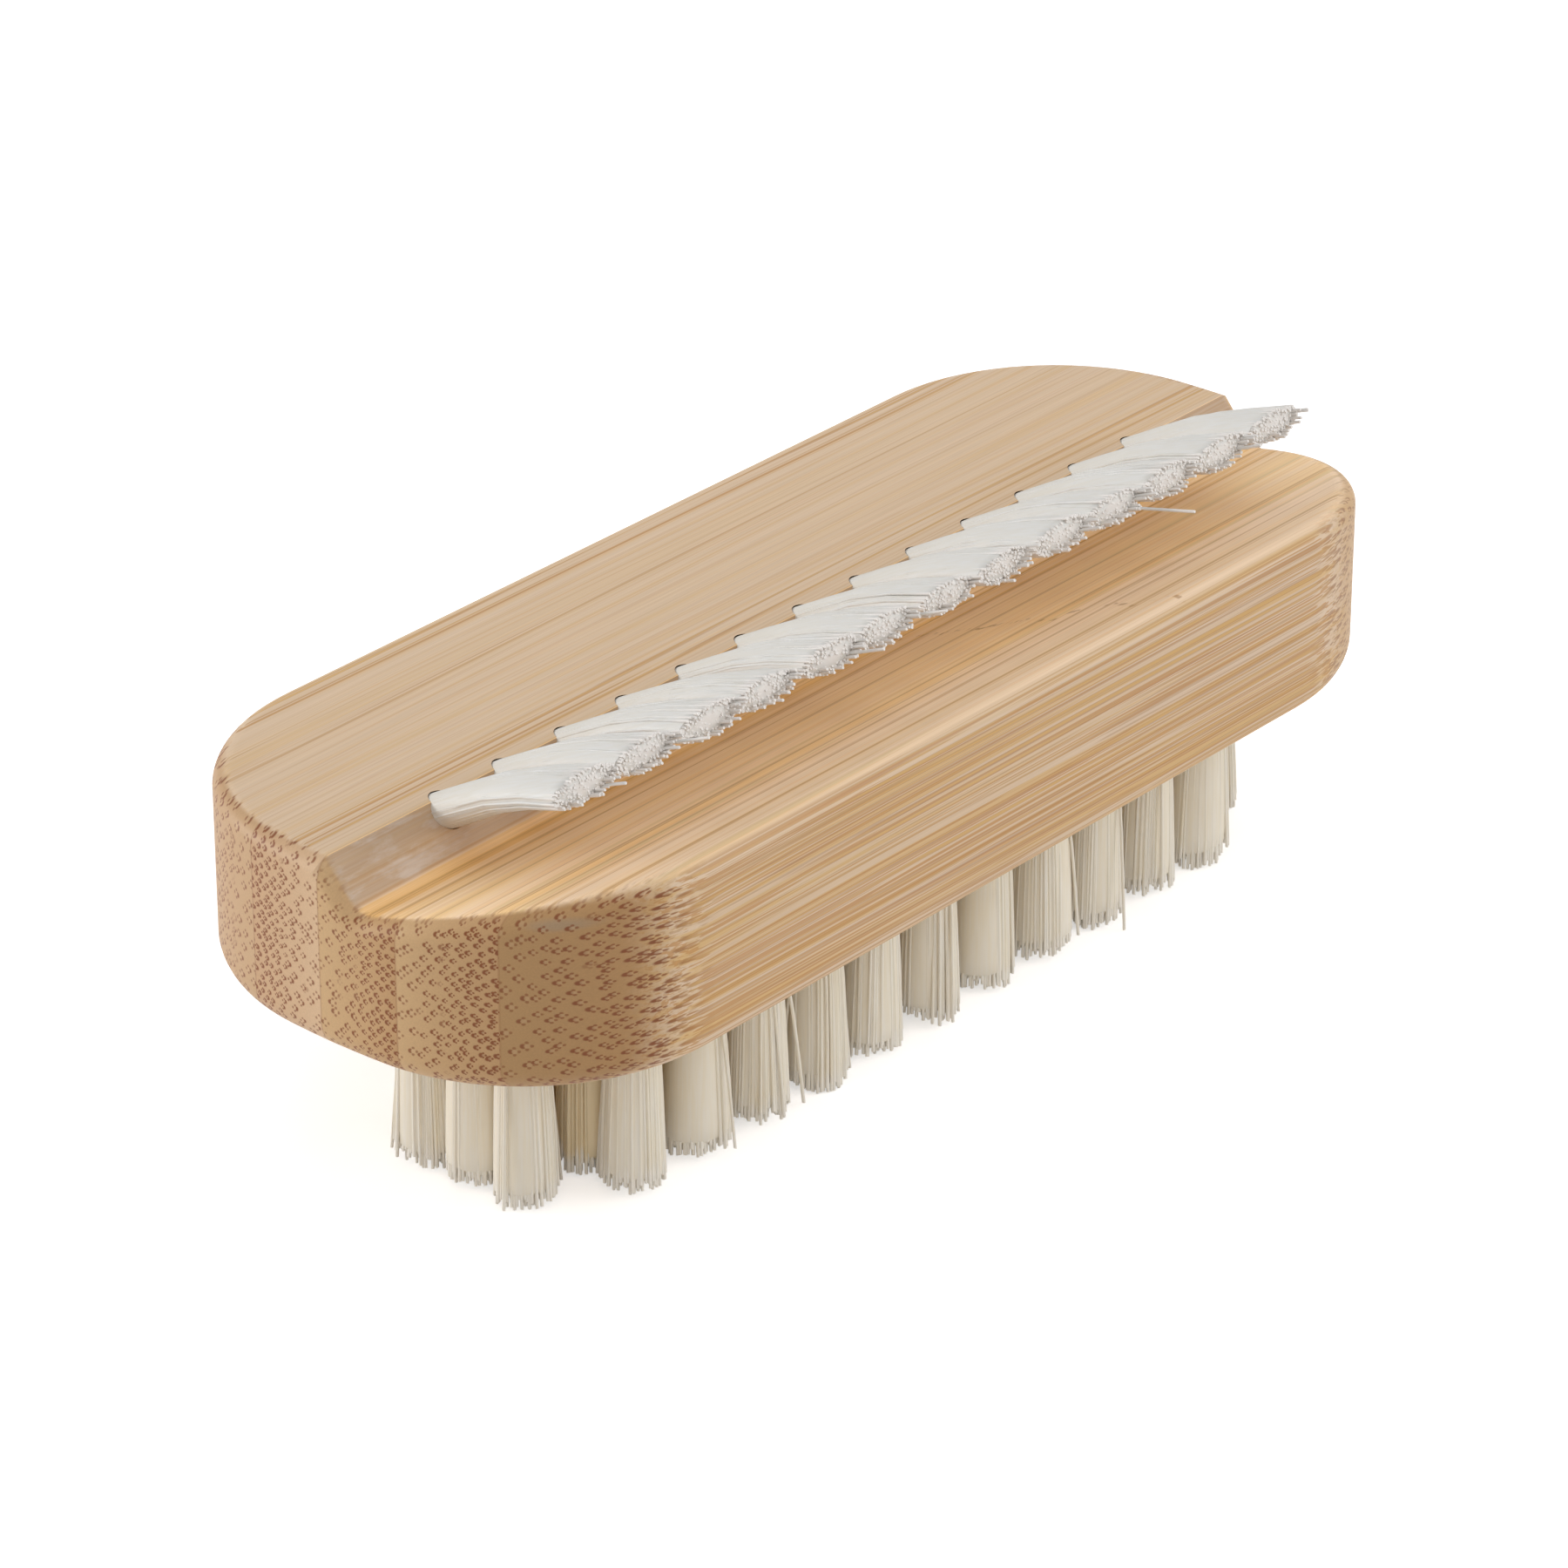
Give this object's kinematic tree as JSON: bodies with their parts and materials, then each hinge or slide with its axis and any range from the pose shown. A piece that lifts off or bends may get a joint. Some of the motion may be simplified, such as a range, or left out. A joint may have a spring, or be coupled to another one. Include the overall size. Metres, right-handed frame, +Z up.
{
  "type": "nail brush",
  "caption": "Hand nail brush: laminated bamboo block with rounded ends, scrub bristles below and a slanting row of nail bristles in a groove on top.",
  "frame": {"origin": "under the middle of the block, on the plane of the scrub bristles' tips", "axes": "+X along the block, +Z up from the scrub tips to the grip face, ledge and nail tips towards -Y"},
  "size_m": [0.095, 0.038, 0.034],
  "materials": {
    "bamboo": "satin, lightly oiled",
    "scrub_bristle": "cream nylon filament",
    "nail_bristle": "white nylon filament",
    "anchor": "plain drawn strip"
  },
  "bodies": {
    "root": {"bamboo_strip_1": "bamboo", "bamboo_strip_2": "bamboo", "bamboo_strip_3": "bamboo", "bamboo_strip_4": "bamboo", "bamboo_strip_5": "bamboo", "bamboo_strip_6": "bamboo", "scrub_row_1": "scrub_bristle", "scrub_row_2": "scrub_bristle", "scrub_row_3": "scrub_bristle", "scrub_row_4": "scrub_bristle", "scrub_row_5": "scrub_bristle", "nail_tuft_01": "nail_bristle", "nail_tuft_02": "nail_bristle", "nail_tuft_03": "nail_bristle", "nail_tuft_04": "nail_bristle", "nail_tuft_05": "nail_bristle", "nail_tuft_06": "nail_bristle", "nail_tuft_07": "nail_bristle", "nail_tuft_08": "nail_bristle", "nail_tuft_09": "nail_bristle", "nail_tuft_10": "nail_bristle", "nail_tuft_11": "nail_bristle", "nail_tuft_12": "nail_bristle", "nail_tuft_13": "nail_bristle", "scrub_anchors_1": "anchor", "scrub_anchors_2": "anchor", "scrub_anchors_3": "anchor", "scrub_anchors_4": "anchor", "scrub_anchors_5": "anchor", "nail_anchors": "anchor"}
  },
  "joints": []
}
